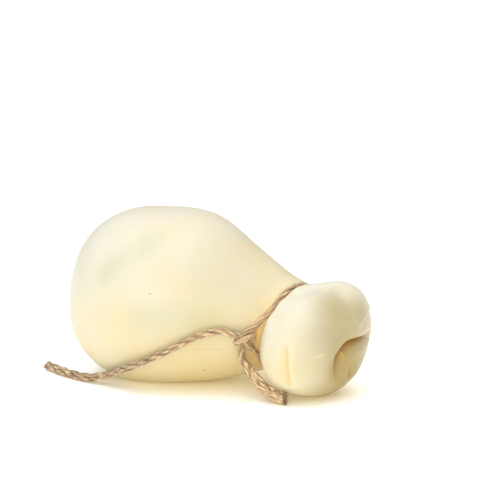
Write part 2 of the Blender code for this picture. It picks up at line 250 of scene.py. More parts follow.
# %% Skin round the axis
SHOULDER_HUMP = 4.8
HUMP_STATION = 57.5
HUMP_LENGTH = 18.5
HUMP_SPREAD = 60.0
HEAD_OVAL = 0.10
OVAL_ANGLE = 31.0
HEAD_LOBES = -0.07


def frame_at(station):
    """The axis point there, and the directions along it, across it to the left and upwards."""
    centre = np.stack([np.interp(station, STATIONS, AXIS[:, k]) for k in range(3)], -1)
    along = unit(np.stack([np.interp(station, STATIONS, WAY[:, k]) for k in range(3)], -1))
    across = unit(np.cross([0, 0, 1.0], along))
    return centre, along, across, np.cross(along, across)


def skin_radius(station, angle, radius):
    """A ring's radius with the shoulder's hump and the head's oval, lobed section."""
    from_top = (angle - np.pi / 2 + np.pi) % (2 * np.pi) - np.pi
    along, aside = (station - HUMP_STATION) / HUMP_LENGTH, from_top / np.radians(HUMP_SPREAD)
    hump = np.exp(-(along**2) - aside**2)
    in_head = smooth((station - NECK_AT) / (HEAD_AT - NECK_AT))
    oval = HEAD_OVAL * np.cos(2 * (angle - np.radians(OVAL_ANGLE))) + HEAD_LOBES * np.cos(3 * angle)
    return (radius + SHOULDER_HUMP * hump) * (1 + in_head * oval)


def around(station, angle, radius):
    """Points at an angle and a distance from the axis."""
    centre, _, across, up = frame_at(station)
    aside = np.cos(angle)[..., None] * across + np.sin(angle)[..., None] * up
    return centre + radius[..., None] * aside


print("the neck is", round(2 * NECK_RADIUS, 1), "mm across, the belly", 2 * BELLY_RADIUS, "mm")

# %% [markdown]
# ## The fold in the head
#
# The cheesemaker closes the pear by folding the head's end over on itself. One lobe curls above a
# curved slit, and the lower lobe's edge runs in under it. Cutting a slit into a finished head would
# leave long thin faces round it. So the rings over the front of the head are drawn out from circles
# into the slit's bow, and the points beside it are then rolled over: those above it round a lip
# whose radius grows along the slit, those below it down and under.

# %% Rings that close on the slit
SEGMENTS = 300
SLIT_HALF = 13.0
SLIT_ANGLE = 32.0
SLIT_SHIFT = (4.3, 5.2)
SLIT_GAP = 0.3
BOW_AT = -5.2
SLIT_BOWS = (1.8, 0.8)
BOW_ROUNDING = 4.8
BOW_REACH = 25.0
BOW_SPREAD = 30.0
CAP_ARC = 33.6


def bow(u):
    """How far the slit's line falls back from straight, at u along it."""
    from_bend = u - BOW_AT
    level = from_bend / (1 + (from_bend / BOW_REACH) ** 4) ** 0.25
    return np.where(level < 0, *SLIT_BOWS) * (np.hypot(level, BOW_ROUNDING) - BOW_ROUNDING)


def cap_rings(angles):
    """Rings over the head's front that close on the slit, as places (u, v) beside the slit and
    as station, radius and angle on the head."""
    reach = np.linspace(CAP_ARC, SLIT_HALF / 2 + SLIT_GAP, RINGS[3])[:, None]
    near = smooth((CAP_ARC - reach) / (CAP_ARC - SLIT_HALF / 2))
    squeeze = near * SLIT_HALF**2 / 4 / reach
    u = (reach + squeeze) * np.cos(angles)
    v = (reach - squeeze) * np.sin(angles)
    bowed = v - bow(u) * near * np.exp(-((v / BOW_SPREAD) ** 2))
    turn = np.radians(SLIT_ANGLE)
    x = np.cos(turn) * u - np.sin(turn) * bowed + SLIT_SHIFT[0] * near
    y = np.sin(turn) * u + np.cos(turn) * bowed + SLIT_SHIFT[1] * near
    tilt = np.minimum(np.hypot(x, y) / CAP_ARC, 1) * np.pi / 2
    station = HEAD_AT + (POLE_AT - HEAD_AT) * np.cos(tilt)
    return u, v, station, HEAD_RADIUS * np.sin(tilt), np.arctan2(y, x)


print("the slit falls back %.1f and %.1f mm at its ends" % tuple(bow(np.array([-SLIT_HALF, SLIT_HALF]))))

# %% Rolling the lobes over
LIP_RADII = (3.6, 5.0)
LIP_TURN = 130.0
LIP_START = 0.82
LOWER_WIDTHS = (9.5, 6.0)
FOLD_SPAN = 1.06
FOLD_EASE = 0.7
FOLD_CENTRE = 8.0


def fold_over(points, u, v):
    """Rolls the upper lip over the slit and sinks the lower lobe's edge under it. Also says how
    deep in the fold each point ends up, from 0 to 1."""
    _, along, across, up = frame_at(POLE_AT)
    turn = np.radians(SLIT_ANGLE)
    to_lip = np.cos(turn) * up - np.sin(turn) * across
    strength = np.clip(1 - (u / (FOLD_SPAN * SLIT_HALF)) ** 2, 0, 1) ** FOLD_EASE
    lip = np.interp(u, (-SLIT_HALF / 2, SLIT_HALF), LIP_RADII)
    turned, width = np.radians(LIP_TURN), LIP_START * lip
    curl = (1 - np.clip(v / width, 0, 1)) * turned
    lower = np.interp(u, (-SLIT_HALF / 2, SLIT_HALF / 2), LOWER_WIDTHS)
    sink = 1 - np.sin(np.clip(-v / lower, 0, 1) * np.pi / 2)
    shift_up = np.where(v < width, width - lip * np.sin(curl) - v, 0)
    shift = np.where(v > 0, shift_up, (width - lip * np.sin(turned)) * sink)
    depth = lip * np.where(v > 0, 1 - np.cos(curl), (1 - np.cos(turned)) * sink)
    outward = unit(points - (np.array(HEAD) - FOLD_CENTRE * along))
    sideways = unit(to_lip - (outward @ to_lip)[..., None] * outward)
    folded = points + (strength * shift)[..., None] * sideways - (strength * depth)[..., None] * outward
    return folded, strength * np.where(v > 0, curl / turned, sink)


print("the lip curls round by %.0f degrees, on radii from %.1f to %.1f mm" % (LIP_TURN, *LIP_RADII))

# %% [markdown]
# ## Creases, marks and the flat underneath
#
# A crease is a furrow along a route over the surface, deepest in the middle. The head has two that
# show, where it was pinched, and a soft valley down its upper lobe, which swells beside it. Close to
# the loop the curd is tucked in a little. Finer marks belong to the surface alone: the dash ridge, a
# small ridge on the head that later takes a painted highlight, a hair line and a pull line near the
# neck, shallow presses where fingers held the body, and the edge of a thin film of curd that was
# smoothed down over the head, whose rim also takes a painted highlight. A ridge is a furrow with its
# depth below zero. A brush could carve all of these, but a route of a few points with a width and a
# depth can be read and changed. The table flattens what would be below it.

# %% Creases and lobes
CREASES = {  # route, width and depth
    "petal": (((94, -9.7, 23.4), (95.6, -10.3, 22), (96.4, -8.7, 18.6), (96.1, -5.4, 14.2),
               (95.2, -0.4, 8.8), (93, 4, 4)), 4.5, 4.2),
    "side": (((77.7, -27.2, 29.5), (78.1, -27.6, 24), (78.2, -27.3, 18.5), (78.1, -26, 13),
              (78, -23, 9)), 4.8, 1.5),
    "top": (((86.5, -0.5, 50), (89.5, -2.2, 46.8), (91.9, -2.5, 44.9), (95, -3.4, 41.5),
             (96.7, -4.3, 38), (97.6, -5.2, 34.5)), 13.0, 3.2),
}
LOBE = (((75.1, -5.9, 47), (77.3, -10.3, 43.4), (80.1, -15.8, 39.8), (83.4, -22.6, 32),
         (84.3, -24.7, 21.9), (83.8, -22.2, 12.5), (82.3, -17.2, 5.7)), 19.0, 3.0)
TUCK = (((65, -19, 35), (66.5, -17.5, 39.5), (68.5, -14.5, 43.5), (70.5, -11.5, 45.5),
         (73.5, -6.5, 47)), 7.5, 1.9)
ROUTE_FADE = 4
FURROW_START = 0.15
FURROW_SHARPNESS = 2.2


def along_route(points, route):
    """Each point's distance from a route and its place along it from 0 to 1, and then how it is
    offset from the route and which way the route goes there."""
    route = np.array(route, float)
    gap, place = np.full(points.shape[:-1], np.inf), np.zeros(points.shape[:-1])
    offset, heading = np.zeros(points.shape), np.zeros(points.shape)
    for k, (start, end) in enumerate(zip(route, route[1:])):
        way = end - start
        t = np.clip((points - start) @ way / (way @ way), 0, 1)
        away = points - start - t[..., None] * way
        distance = np.linalg.norm(away, axis=-1)
        closer = distance < gap
        gap[closer], offset[closer], heading[closer] = distance[closer], away[closer], way
        place[closer] = ((k + t) / (len(route) - 1))[closer]
    return gap, place, offset, heading


def furrow(points, route, width, depth):
    """How far a furrow along the route draws each point towards the axis."""
    gap, place, *_ = along_route(points, route)
    fade = smooth(np.minimum(place, 1 - place) * ROUTE_FADE + FURROW_START)
    return depth * fade * np.clip(1 - gap / width, 0, 1) ** FURROW_SHARPNESS


def swelling(points, route, width, height):
    """How far a round swelling along the route lifts each point off the axis."""
    gap, place, *_ = along_route(points, route)
    return height * smooth(np.minimum(place, 1 - place) * ROUTE_FADE) * smooth(1 - gap / width)


print("creases, mm wide and deep:", {name: shape[1:] for name, shape in CREASES.items()})

# %% Fine marks, film and floor
MARKS = {
    # A small ridge on the head, which later takes a painted highlight.
    "dash_ridge": (((87.6, -22.7, 22.9), (89, -21.2, 23.3), (90.6, -19.4, 23.5)), 0.85, -0.4),
    "hair_line": (((34, -28.9, 21.9), (38.7, -26.9, 21.9), (42.3, -25.2, 21.8), (49.9, -22, 22.1)),
                  1.3, 0.6),
    "pull_line": (((60.7, -13.2, 46.8), (63.3, -8.5, 48.6), (65.3, -2.4, 49.6)), 1.3, 0.3),
}
PRESSES = (
    (((-11, -36, 46), (-5.5, -35.5, 51), (1, -32.5, 57.5), (8, -29, 62), (12.5, -24.5, 65.5),
      (21, -15, 70.5)), 11, 0.6),
    (((-9, -36.5, 48), (-5.5, -35.5, 51), (-3, -34, 54), (1, -32.5, 57.5), (6, -30, 61)), 6, 0.4),
    (((8, -29, 62), (10, -28.5, 63), (12.5, -24.5, 65.5), (16, -21, 67.5), (20, -17, 69.5)), 7, 0.35),
    (((5, -38.5, 36), (11.5, -38.5, 36), (20, -36, 35.5), (30.5, -33, 36), (40, -28.5, 36.5),
      (55, -21, 35)), 10, 0.6),
    (((-21, -23, 61), (-19, -28.5, 54.5), (-13.5, -35, 45), (-9, -38, 37)), 8, 0.25),
)
FILM_EDGE = ((98.6, 12.5, 39.5), (99.2, 10.8, 37.3), (100.3, 2.9, 34.9), (99.8, -1.6, 32.5),
             (99.2, -3.7, 31.6))
FILM_THICKNESS = 1.4
FILM_REACH = 7.0
FILM_FADE = 2.3
FILM_STEP = 0.7
FILM_RIM = (1.3, -0.4)
FLOOR_ROUNDING = 0.5


def below_edge(points, inward):
    """How far the surface drops on the far side of the film's edge, deepest close to the edge."""
    gap, place, offset, heading = along_route(points, FILM_EDGE)
    side = np.sum(offset * np.cross(heading, inward), axis=-1)
    fade = smooth(np.minimum(place, 1 - place) * FILM_FADE)
    drop = FILM_THICKNESS * fade * smooth(gap / FILM_STEP) * np.clip(1 - gap / FILM_REACH, 0, 1)
    return np.where(side > 0, drop, 0)


def press_on_floor(height):
    """Heights after the floor has flattened what would be below it."""
    edge = 2 * FLOOR_ROUNDING
    eased = (height + edge) ** 2 / (4 * edge)
    return np.where(height > edge, height, np.where(height < -edge, 0, eased))


print("marks:", ", ".join(MARKS), "and", len(PRESSES), "presses")

# %% [markdown]
# ## The twine's line
#
# The twine is one length: the long tail, a strand that goes in under the knot, the loop round the
# neck, a strand that winds round the first one, and the short tail. Its route is given point by
# point, since it follows a knot and not a rule, and the loop's points are an angle round the neck and
# a shift along it. One smooth curve runs through all of them. A curve object with a round bevel would
# follow the same points, but its section can't be three yarns that turn, and its rows couldn't be
# shared by three pieces.

# %% Points of the twine
LONG_TAIL = (
    (-44.4, -16.7, 2), (-32.7, -22.3, 2), (-21.7, -25.6, 2), (-15.5, -26.5, 2.7), (-9.8, -27.6, 4.4),
    (-4.3, -29.6, 6.8), (7.2, -34, 12.3), (16.8, -35, 17), (24.6, -34.8, 21.2), (30.8, -33.8, 24.7),
    (36.5, -32.2, 28), (41.9, -29.8, 29.9), (46.8, -27.3, 30.7),
)
LOWER_STRAND = (
    (51.2, -25.9, 29.6), (52.9, -25.6, 29), (54.6, -25.2, 28.1), (55.8, -23.9, 26.4),
    (56.7, -21.7, 24.2), (57.5, -19.4, 22.1),
)
LOOP_AT = -1.9
LOOP = (
    (205, -4), (212, -2.8), (220, -2.3), *((turned % 360, LOOP_AT) for turned in range(240, 461, 20)),
    (115, LOOP_AT), (130, LOOP_AT), (143, -2), (152, -3.3), (160, -5.2), (167, -6.3),
)
UPPER_STRAND = (
    (57, -21.8, 30.6), (55.2, -22.5, 29.1), (53.6, -23.1, 27.4), (52.6, -24.3, 26.5),
    (52.8, -25.8, 26), (54.1, -26.9, 26.3), (55.8, -26.9, 27.2), (57.7, -25.9, 28.3),
    (58.8, -24.4, 29), (59.2, -22.2, 28.6), (58.4, -20.6, 27.2), (57, -20.3, 25.7),
    (55.6, -20.8, 24.4), (54.4, -21.4, 23.3), (53.7, -21.6, 22),
)
SHORT_TAIL = (
    (53.4, -21.6, 20.6), (54, -21, 17.1), (55.4, -20.3, 14.7), (57.2, -20.3, 12.2), (59.4, -20.5, 9.9),
    (62.1, -20.9, 7.6), (64.9, -21.1, 5.7), (68, -21.2, 4.2), (70.6, -20.9, 3.3), (73.1, -20.6, 2.8),
)
LOOP_LIFT = 0.85
KNOT_LIFT = 1.0
KNOT_ANGLE = 186.0
KNOT_SPREAD = 28.0


def loop_points():
    """The loop's route round the neck: sunk in the curd, and off its skin beside the knot."""
    angle = np.radians([a for a, _ in LOOP])
    from_knot = (np.degrees(angle) - KNOT_ANGLE + 180) % 360 - 180
    lift = LOOP_LIFT + KNOT_LIFT * np.exp(-((from_knot / KNOT_SPREAD) ** 2))
    station = NECK_AT + np.array([shift for _, shift in LOOP], float)
    radius = skin_radius(station, angle, np.interp(station, OUTLINE[:, 0], OUTLINE[:, 1]))
    return around(station, angle, radius + lift)


legs = [np.array(LONG_TAIL, float), np.array(LOWER_STRAND, float), loop_points(),
        np.array(UPPER_STRAND, float), np.array(SHORT_TAIL, float)]
print("points from the long tail to the short one:", [len(leg) for leg in legs])

# %% One smooth line
FLOW_STEPS = 16
TWINE_STEP = 0.32
UNDER_WRAP = 1.9


def flowing(route):
    """A smooth line through the route's points, with evenly timed steps between each pair."""
    points = np.vstack([2 * route[0] - route[1], route, 2 * route[-1] - route[-2]])
    knots = np.r_[0, np.cumsum(np.linalg.norm(np.diff(points, axis=0), axis=1) ** 0.5)]
    line = []
    for k in range(1, len(points) - 2):
        t0, t1, t2, t3 = knots[k - 1:k + 3]
        p0, p1, p2, p3 = points[k - 1:k + 3]
        t = np.linspace(t1, t2, FLOW_STEPS, endpoint=False)[:, None]
        a1 = ((t1 - t) * p0 + (t - t0) * p1) / (t1 - t0)
        a2 = ((t2 - t) * p1 + (t - t1) * p2) / (t2 - t1)
        a3 = ((t3 - t) * p2 + (t - t2) * p3) / (t3 - t2)
        b1 = ((t2 - t) * a1 + (t - t0) * a2) / (t2 - t0)
        b2 = ((t3 - t) * a2 + (t - t1) * a3) / (t3 - t1)
        line.append(((t2 - t) * b1 + (t - t1) * b2) / (t2 - t1))
    return np.vstack(line + [route[-1:]])


drawn_line = flowing(np.vstack(legs))
run = lengths_along(drawn_line)
leg_starts = [run[FLOW_STEPS * k] for k in np.cumsum([len(leg) for leg in legs])[:4]]
twine_at = np.arange(0, run[-1], TWINE_STEP)
twine_line = np.stack([np.interp(twine_at, run, drawn_line[:, k]) for k in range(3)], -1)
knot_in = round(leg_starts[0] / TWINE_STEP)
knot_out = round((leg_starts[3] - UNDER_WRAP) / TWINE_STEP)

# %% [markdown]
# ## The cheese
#
# The mesh is the solid's own shape with four times as many points each way. Soft curd gives way to a
# tight string, so the neck swells a little on both sides of the loop, and wherever the twine would be
# inside the curd, the skin is pushed back onto the twine's round. Broad waves, a few tenths of a
# millimetre high, keep the body from looking turned on a lathe. The groove could be left to chance
# by letting the twine sink in, but then the mesh would cut through it.

# %% Waves and the twine's groove
WAVES = (  # wavelength and height in millimetres, and direction
    (46, 0.22, (0.3, 0.8, 0.5)), (37, 0.18, (0.8, -0.3, 0.5)), (29, 0.12, (0.5, 0.4, -0.8)),
    (21, 0.07, (0.9, 0.3, 0.2)),
)
WAVE_OFFSET = 1.7
TWINE_RADIUS = 1.15
AT_ONCE = 4000


def waves(points):
    """Low waves of the surface, in millimetres."""
    height = np.zeros(points.shape[:-1])
    for k, (length, tall, way) in enumerate(WAVES):
        height += tall * np.sin(points @ unit(np.array(way)) * 2 * np.pi / length + WAVE_OFFSET * k)
    return height


def press_twine(points, inward, line):
    """Pushes the points that are inside the twine inwards, onto its round."""
    for start in range(0, len(points), AT_ONCE):
        part = slice(start, start + AT_ONCE)
        gaps = np.linalg.norm(points[part, None] - line[None], axis=-1)
        offset = points[part] - line[gaps.argmin(axis=1)]
        along_in = np.sum(offset * inward[part], axis=-1)
        short = TWINE_RADIUS**2 - np.sum(offset**2, axis=-1)
        push = np.where(short > 0, -along_in + np.sqrt(np.maximum(along_in**2 + short, 0)), 0)
        points[part] += push[:, None] * inward[part]
    return points


print("the waves are up to %.2f mm high where they meet" % sum(tall for _, tall, _ in WAVES))

# %% Cheese rows
NECK_SWELL = 1.0
TOP_SWELL = 0.5
TOP_ANGLE = 80.0
SWELL_AT = -2.0
SWELL_REACH = 4.5
GROOVE_REACH = 2.5
DEEP_IN_BASE = 20.0


def cheese_rows():
    """The cheese's rings of points in millimetres, and what formed each point."""
    angles = np.linspace(0, 2 * np.pi, SEGMENTS, endpoint=False)
    u, v, cap_station, cap_radius, cap_angle = cap_rings(angles)
    first = len(OUTLINE)
    full = np.ones((first, SEGMENTS))
    station = np.vstack([OUTLINE[:, :1] * full, cap_station])
    angle = np.vstack([(angles + np.radians(SLIT_ANGLE)) * full, cap_angle])
    radius = skin_radius(station, angle, np.vstack([OUTLINE[:, 1:] * full, cap_radius]))
    points = around(station, angle, radius)
    inward = unit(frame_at(np.maximum(station, DEEP_IN_BASE))[0] - points)
    side = furrow(points, *CREASES["side"])
    drawn = side + furrow(points, *CREASES["top"]) + swelling(points, *TUCK) - swelling(points, *LOBE)
    folded = np.zeros(points.shape[:-1])
    points[first:], folded[first:] = fold_over(points[first:], u, v)
    petal = furrow(points, *CREASES["petal"])
    from_loop = (station - NECK_AT - SWELL_AT) / SWELL_REACH
    on_top = 0.5 + 0.5 * np.cos(angle - np.radians(TOP_ANGLE))
    swell = (NECK_SWELL + TOP_SWELL * on_top**2) * np.exp(-from_loop**2)
    points += (drawn + petal - swell - waves(points))[..., None] * inward
    presses = sum(swelling(points, *shape) for shape in PRESSES)
    rim = furrow(points, FILM_EDGE, *FILM_RIM)
    marked = presses + sum(furrow(points, *shape) for shape in MARKS.values()) + rim
    points += (marked + below_edge(points, inward))[..., None] * inward
    near = np.abs(from_loop) < GROOVE_REACH
    points[near] = press_twine(points[near], inward[near], twine_line[knot_in:knot_out + 1])
    points[..., 2] = press_on_floor(points[..., 2])
    grain = np.stack([station, radius * np.cos(angle), radius * np.sin(angle)], -1)
    return points, grain, (station, angle, on_top, side, petal, folded, presses, rim)


rows, grain, formed = cheese_rows()
print("cheese: %d x %d points, %.1f mm long" % (*rows.shape[:2], np.ptp(rows[..., 0])))

# %% [markdown]
# ## What the curd's colour depends on
#
# Real curd isn't one colour, and here its colours follow its shape. Most of them are painted light
# and shade: a warm amber glow where two faces close on each other, darker amber shade in the folds,
# tan shade on the head's front, pale highlights on the film's edge and on a small ridge, and a
# yellower, warm shade low down. These could be painted by hand. Here each is worked out from the
# shape as a share from 0 to 1 at each point, a tint, so that the colours stay with the form:
#
# - `painted_crevice_glow`: painted glow beside the loop, and in the pinch at the head's side;
# - `painted_fold_shade`: painted shade deep in the slit and in the petal's crease, and right beside
#   the knot;
# - `painted_highlight`: painted highlights on the film's edge and on the dash ridge;
# - `neck_yellow_and_low_shade`: yellower towards the neck, and towards the floor as painted warm shade;
# - `painted_head_shade`: patches of painted shade on the head's front;
# - `pressed`: where fingers held the body;
# - `gathered`: where the skin is drawn together before the neck.
#
# One more thing goes with the mesh: `grain`, each point's place along and round the axis, so that
# pull marks can run the way the curd was stretched.

# %% Tints
VALLEY_WIDTHS = (2.6, 5.6)  # away from the knot, and beside it
VALLEY_AT = 0.5
VALLEY_SHIFT = -4.5
KNOT_SIDE = KNOT_ANGLE + 15
GATHERS_REACH = 22.0
BODY_FADE = 8.0
LOW_SHADE_HEIGHT = 55.0
SHARES = {  # how much each reason counts
    "loop": 0.7, "pinch": 0.55, "slit": 0.68, "petal": 0.85, "knot": 0.4, "rim": 0.3, "dash_ridge": 0.45,
    "to_neck": 0.5, "by_neck": 0.3, "low": 0.5, "pressed": 0.5,
}
KNOT_FOCUS = 8
FOLD_FROM, FOLD_TO = 0.15, 0.6
TOP_LOSS = 0.4  # what the loop's amber loses on top of the neck
FAR_SHARE = 0.4  # what is left of it away from the knot
# Painted shade on the head's front, in soft round patches.
HEAD_SHADE_SPOTS = (  # middle, reach and share
    ((96, -5, 11), 26, 1.05), ((94, -9, 35), 21, 0.6), ((88, -9.5, 44), 13, 0.3),
    ((90, -18.5, 26), 15, 0.25), ((94.5, -12.5, 16), 9, 0.5), ((99, 1, 38), 10, 0.3),
)


def cheese_tints(points, station, angle, on_top, side, petal, folded, presses, rim):
    """How much of each tint every point of the cheese takes."""
    by_knot = 0.5 + 0.5 * np.cos(angle - np.radians(KNOT_SIDE))
    wide = VALLEY_WIDTHS[0] + (VALLEY_WIDTHS[1] - VALLEY_WIDTHS[0]) * by_knot**3
    middle = NECK_AT + VALLEY_AT + VALLEY_SHIFT * by_knot**3
    valley = np.exp(-((station - middle) / wide) ** 2)
    valley *= (1 - TOP_LOSS * on_top) * (FAR_SHARE + (1 - FAR_SHARE) * by_knot)
    slit = smooth((folded - FOLD_FROM) / (FOLD_TO - FOLD_FROM))
    dash_ridge = furrow(points, *MARKS["dash_ridge"]) / MARKS["dash_ridge"][2]
    in_body = smooth((NECK_AT + 2 - station) / BODY_FADE)
    # Painted warm shade from below: yellower near the floor.
    by_neck = smooth(1 - (NECK_AT - station) / GATHERS_REACH)
    low = smooth(1 - points[..., 2] / LOW_SHADE_HEIGHT)
    tints = {
        # Painted glow: warm amber beside the loop and in the pinch at the head's side.
        "painted_crevice_glow": SHARES["loop"] * valley + SHARES["pinch"] * side / CREASES["side"][2],
        # Painted shade, dark amber, deep in the slit, in the petal's crease and right beside the knot.
        "painted_fold_shade": SHARES["slit"] * slit + SHARES["petal"] * (petal / CREASES["petal"][2])**2
                     + SHARES["knot"] * valley * by_knot**KNOT_FOCUS,
        # Painted highlights on the film's rim and on the dash ridge.
        "painted_highlight": SHARES["rim"] * rim / FILM_RIM[1] + SHARES["dash_ridge"] * dash_ridge,
        # Fuller cream towards the neck; towards the floor it is a painted warm shade.
        "neck_yellow_and_low_shade": in_body * (SHARES["to_neck"] * smooth(station / NECK_AT) + SHARES["by_neck"] * by_neck)
                + SHARES["low"] * low,
        # Painted shade on the head's front.
        "painted_head_shade": sum(share * smooth(1 - np.linalg.norm(points - centre, axis=-1) / reach)
                   for centre, reach, share in HEAD_SHADE_SPOTS),
        "pressed": SHARES["pressed"] * np.minimum(presses, 1),
        "gathered": in_body * by_neck,
    }
    return {name: np.clip(tint, 0, 1) for name, tint in tints.items()}


tints = cheese_tints(rows, *formed)
print("most of each tint:", {name: round(float(tint.max()), 2) for name, tint in tints.items()})

# %% [markdown]
# ## From rows of points to a piece
#
# Every piece here is rows of points with the same count, joined by four-sided faces, and closed at
# both ends. One function makes the object, gives it its point attributes and its material, and hangs
# it on the body it rides on.


# %% Mesh helpers
def joined(row_count, ring, first=0):
    """The four-sided faces between rows of ring points each, pointing out."""
    near = first + np.arange(row_count - 1)[:, None] * ring + np.arange(ring)
    near_next = first + np.arange(row_count - 1)[:, None] * ring + (np.arange(ring) + 1) % ring
    return np.stack([near, near_next, near_next + ring, near + ring], -1).reshape(-1, 4).tolist()


def piece(name, points, faces, attributes, surface):
    """A smooth mesh object that rides on the part, in metres."""
    mesh = bpy.data.meshes.new(name)
    mesh.from_pydata((points * MM).tolist(), [], faces)
    for label, values in attributes.items():
        kind = "FLOAT" if values.ndim == 1 else "FLOAT_VECTOR"
        field = "value" if values.ndim == 1 else "vector"
        store = mesh.attributes.new(label, kind, "POINT")
        store.data.foreach_set(field, values.astype(np.float32).ravel())
    mesh.materials.append(surface)
    mesh.shade_smooth()
    new = bpy.data.objects.new(name, mesh)
    bpy.context.scene.collection.objects.link(new)
    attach(new, "root")
    print(name, len(mesh.vertices), "points,", len(faces), "faces")
    return new


# %% [markdown]
# ## Stretched curd
#
# Pulled curd is a wet protein gel full of fat droplets. It is smooth because it was stretched, and
# only half matt, since its skin has dried a little. Light goes a few millimetres into it and comes
# out yellower, red reaching furthest, so it gets subsurface scattering, with an index of refraction
# near that of water. Its cream lies between a pale and a full one: fuller towards the neck, fuller
# towards the floor as a painted warm shade, and in clouds a few centimetres wide, which come from
# uneven stretching. The tints are then laid over it one by one; all but the presses' are painted
# glow, shade and highlights. Pull marks run along the grain, about 2 mm apart, and the gathers before
# the neck run round it, with a line of amber along each. Real ones are finer, and are drawn this
# coarse so that they show. Two small dark specks lie on the side that faces the viewer.

# %% Colours and patterns of the curd
PALE_CREAM = "#cfcab9"
CREAM = "#d0bf92"
AMBER = "#eebf74"
SPECK = "#7a5a2a"
TINT_COLOURS = {
    "pressed": "#bbbb9c",
    # painted shade on the head's front
    "painted_head_shade": "#a69462",
    # painted glow in the crevices
    "painted_crevice_glow": AMBER,
    # painted shade in the folds
    "painted_fold_shade": "#b48a3c",
    # painted highlights
    "painted_highlight": "#fbf6ea",
}
SPECKS = (((35.5, -20.5, 10.6), 0.55), ((18, -36, 45.9), 0.35))  # middle and reach
CLOUD_SIZE = 22.0
CLOUD_ENDS = (0.3, 0.7)
CLOUD_SHARE = 0.2
SKIN_GRAIN = 1.5
GATHERS = (2.0, 9.0, 9.0)  # spacing along the axis, and length round it
GATHER_ENDS = (0.45, 0.6)
GATHER_SHARE = 0.5
PULLS = (30.0, 2.0, 2.0)  # length along the axis, and spacing round it
LINE_ROUGHNESS = 0.6
RELIEFS = {"fine": (0.12, 0.1), "pulls": (0.5, 0.12), "gathers": (0.8, 0.5)}  # strength, and mm deep
DULLNESS = (0.36, 0.5)
CURD_IOR = 1.38
LIGHT_DEPTH = 2.5
LIGHT_REACH = (1.0, 0.9, 0.6)  # of red, green and blue
print("cream and amber in linear light:", [[round(x, 2) for x in linear(c)] for c in (CREAM, AMBER)])


# %% Patterns in the curd
def curd_patterns(tree):
    """Sockets by name: each tint's share, clouds, fine grain, gathers, pulls, and the specks."""
    place = node(tree, "TexCoord").outputs["Object"]
    grain = node(tree, "Attribute", attribute_name="grain").outputs["Vector"]
    got = {name: node(tree, "Attribute", attribute_name=name).outputs["Fac"] for name in tints}
    for name, size, detail in (("clouds", CLOUD_SIZE, 2.0), ("fine", SKIN_GRAIN, 3.0)):
        look = {"Vector": place, "Scale": 1 / (size * MM), "Detail": detail}
        got[name] = node(tree, "TexNoise", look).outputs["Fac"]
    for name, size, detail in (("gathers", GATHERS, 2.0), ("pulls", PULLS, 3.0)):
        scale = tuple(1 / length for length in size)
        drawn_out = node(tree, "VectorMath", {0: grain, 1: scale}, operation="MULTIPLY").outputs[0]
        look = {"Vector": drawn_out, "Scale": 1.0, "Detail": detail, "Roughness": LINE_ROUGHNESS}
        got[name] = node(tree, "TexNoise", look).outputs["Fac"]
    both = {0: got["gathers"], 1: got["gathered"]}
    got["gathers"] = node(tree, "Math", both, operation="MULTIPLY").outputs[0]
    got["specks"] = []
    for centre, reach in SPECKS:
        middle = tuple(c * MM for c in centre)
        away = node(tree, "VectorMath", {0: place, 1: middle}, operation="DISTANCE").outputs["Value"]
        ends = {"From Min": reach * MM, "From Max": 0.5 * reach * MM}
        got["specks"].append(node(tree, "MapRange", {"Value": away, **ends}).outputs[0])
    return got


print("patterns, mm: clouds", CLOUD_SIZE, "grain", SKIN_GRAIN, "gathers", GATHERS, "pulls", PULLS)


# %% Colour of the curd
def curd_colour(tree, pattern):
    """Pale cream with the other colours mixed over it one by one."""
    ends = {"From Min": CLOUD_ENDS[0], "From Max": CLOUD_ENDS[1], "To Min": -CLOUD_SHARE,
            "To Max": CLOUD_SHARE}
    cloudy = node(tree, "MapRange", {"Value": pattern["clouds"], **ends}).outputs[0]
    # Fuller cream towards the neck, and painted warm shade towards the floor, with clouds.
    both = {0: pattern["neck_yellow_and_low_shade"], 1: cloudy}
    neck_yellow_and_low_shade = node(tree, "Math", both, operation="ADD", use_clamp=True).outputs[0]
    ends = {"From Min": GATHER_ENDS[0], "From Max": GATHER_ENDS[1], "To Max": GATHER_SHARE}
    golden = node(tree, "MapRange", {"Value": pattern["gathers"], **ends}).outputs[0]
    layers = [(neck_yellow_and_low_shade, CREAM)] + [(pattern[name], shade) for name, shade in TINT_COLOURS.items()]
    layers += [(speck, SPECK) for speck in pattern["specks"]] + [(golden, AMBER)]
    base = linear(PALE_CREAM)
    for much, shade in layers:
        base = node(tree, "Mix", {0: much, 6: base, 7: linear(shade)}, data_type="RGBA").outputs[2]
    return base


print("colours of the curd:", 2 + len(TINT_COLOURS), "and one for the specks")


# %% Material of the curd
def stretched_curd():
    """The material of the cheese."""
    surface = bpy.data.materials.new("stretched_curd")
    tree = empty_tree(surface)
    pattern = curd_patterns(tree)
    ends = {"To Min": DULLNESS[0], "To Max": DULLNESS[1]}
    dull = node(tree, "MapRange", {"Value": pattern["fine"], **ends}).outputs[0]
    relief = {}
    for name, (strength, deep) in RELIEFS.items():
        form = {"Height": pattern[name], "Strength": strength, "Distance": deep * MM, **relief}
        relief = {"Normal": node(tree, "Bump", form).outputs[0]}
    curd = node(tree, "BsdfPrincipled", {
        "Base Color": curd_colour(tree, pattern), "Roughness": dull, "IOR": CURD_IOR,
        "Subsurface Weight": 1.0, "Subsurface Radius": LIGHT_REACH,
        "Subsurface Scale": LIGHT_DEPTH * MM, **relief,
    })
    node(tree, "OutputMaterial", {"Surface": curd.outputs[0]})
    print("stretched curd:", len(tree.nodes), "nodes")
    return surface


